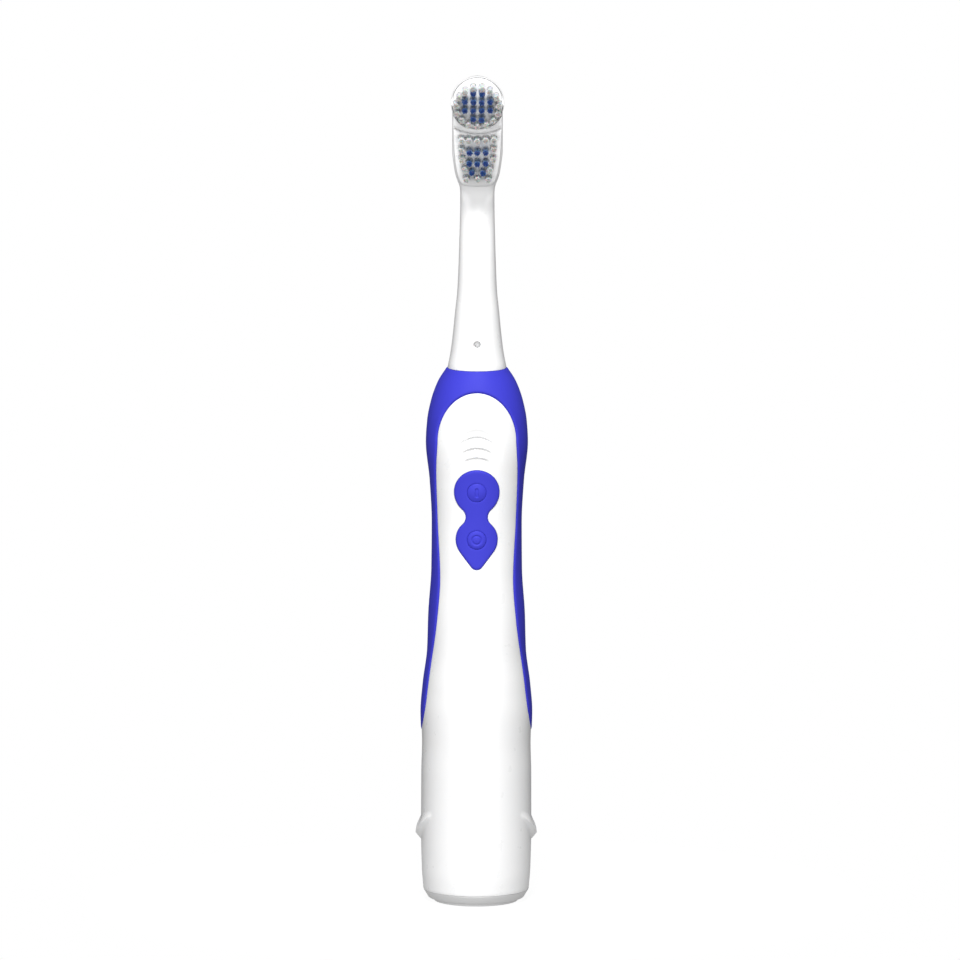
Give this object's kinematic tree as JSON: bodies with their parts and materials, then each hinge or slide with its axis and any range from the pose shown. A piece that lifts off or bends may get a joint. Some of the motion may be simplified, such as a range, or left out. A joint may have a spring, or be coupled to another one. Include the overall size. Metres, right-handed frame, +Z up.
{
  "type": "battery toothbrush",
  "caption": "Battery electric toothbrush standing on its base cap: white handle with blue rubber grip and button pad, slim neck, round oscillating brush disc above a sliding brush plate.",
  "frame": {"origin": "centre of the foot, on the surface the brush stands on", "axes": "+Z up along the handle, -Y towards the bristles and buttons, +X to the right seen from the front"},
  "size_m": [0.0342, 0.0337, 0.235],
  "materials": {
    "white_abs": "satin white moulding",
    "blue_tpe": "satin blue rubber",
    "white_nylon": "matte",
    "white_bristle": "translucent nylon filament",
    "blue_bristle": "translucent nylon filament",
    "grey_plastic": "matte",
    "black_rubber": "matte",
    "steel": "bright",
    "copper": "bare copper",
    "brass": "bright",
    "ferrite": "matte",
    "cell_label": "printed sleeve"
  },
  "bodies": {
    "handle": {"handle_body": "white_abs", "grip_overmold": "blue_tpe", "button_pad": "blue_tpe", "nozzle": "white_abs", "shaft_seal": "black_rubber", "chassis": "grey_plastic", "motor_can": "steel", "motor_end_cap": "white_nylon", "motor_magnet_left": "ferrite", "motor_magnet_right": "ferrite", "motor_brush_left": "copper", "motor_brush_right": "copper", "gear_axle": "steel", "front_cell": "cell_label", "rear_cell": "cell_label", "rear_cell_spring": "steel", "plus_contact": "brass", "minus_contact": "brass", "battery_strip": "brass", "motor_strip": "brass", "switch_leaf": "brass", "rocker_pin": "steel"},
    "rotor": {"motor_shaft": "steel", "armature_core": "steel", "armature_winding": "copper", "commutator": "copper", "motor_pinion": "brass"},
    "crown": {"crown_gear": "white_nylon"},
    "drive": {"drive_yoke": "white_nylon", "drive_shaft": "steel"},
    "rocker": {"switch_rocker": "white_nylon"},
    "on_button": {"on_button": "blue_tpe"},
    "off_button": {"off_button": "blue_tpe"},
    "contact_carrier": {"bridge_contact": "steel", "front_cell_spring": "steel"},
    "cap": {"base_cap": "white_abs", "cap_sealing_ring": "black_rubber"},
    "brush_head": {"neck_shell": "white_abs", "disc_pivot_pin": "steel"},
    "push_rod": {"push_rod": "white_nylon", "sliding_plate": "white_abs", "plate_blue_bristles": "blue_bristle", "plate_white_bristles": "white_bristle"},
    "disc": {"oscillating_disc": "white_abs", "disc_blue_bristles": "blue_bristle", "disc_white_bristles": "white_bristle"}
  },
  "joints": [
    {"name": "motor_spin", "type": "hinge", "parent": "handle", "child": "rotor", "pos_m": [0, 0, 0.08], "axis": [0, 0, 1], "continuous": true},
    {"name": "crown_spin", "type": "hinge", "parent": "handle", "child": "crown", "pos_m": [0, 0, 0.106], "axis": [0, 1, 0], "continuous": true},
    {"name": "shaft_slide", "type": "slide", "parent": "handle", "child": "drive", "axis": [0, 0, 1], "range_m": [-0.0008, 0.0008]},
    {"name": "rocker_tilt", "type": "hinge", "parent": "handle", "child": "rocker", "pos_m": [0, -0.0071, 0.1113], "axis": [1, 0, 0], "range_deg": [-4, 4]},
    {"name": "on_press", "type": "slide", "parent": "handle", "child": "on_button", "axis": [0, 1, 0], "range_m": [0, 0.0007], "stiffness_N_per_m": 400},
    {"name": "off_press", "type": "slide", "parent": "handle", "child": "off_button", "axis": [0, 1, 0], "range_m": [0, 0.0007], "stiffness_N_per_m": 400},
    {"name": "cap_travel", "type": "slide", "parent": "handle", "child": "contact_carrier", "axis": [0, 0, -1], "range_m": [0, 0.0081]},
    {"name": "cap_turn", "type": "hinge", "parent": "contact_carrier", "child": "cap", "pos_m": [0, 0, 0.003], "axis": [0, 0, -1], "range_deg": [0, 720]},
    {"name": "head_release", "type": "slide", "parent": "handle", "child": "brush_head", "axis": [0, 0, 1], "range_m": [0, 0.026]},
    {"name": "rod_slide", "type": "slide", "parent": "brush_head", "child": "push_rod", "axis": [0, 0, 1], "range_m": [-0.0008, 0.0008]},
    {"name": "disc_swing", "type": "hinge", "parent": "brush_head", "child": "disc", "pos_m": [0, 0, 0.2275], "axis": [0, 1, 0], "range_deg": [-17.05, 17.05]}
  ],
  "couplings": [
    {"joint": "crown_spin", "follows": "motor_spin", "ratio": 0.33333},
    {"joint": "rod_slide", "follows": "shaft_slide", "ratio": 1},
    {"joint": "disc_swing", "follows": "shaft_slide", "rad_per_m": -370.88},
    {"joint": "cap_travel", "follows": "cap_turn", "m_per_rad": 0.00063662}
  ]
}
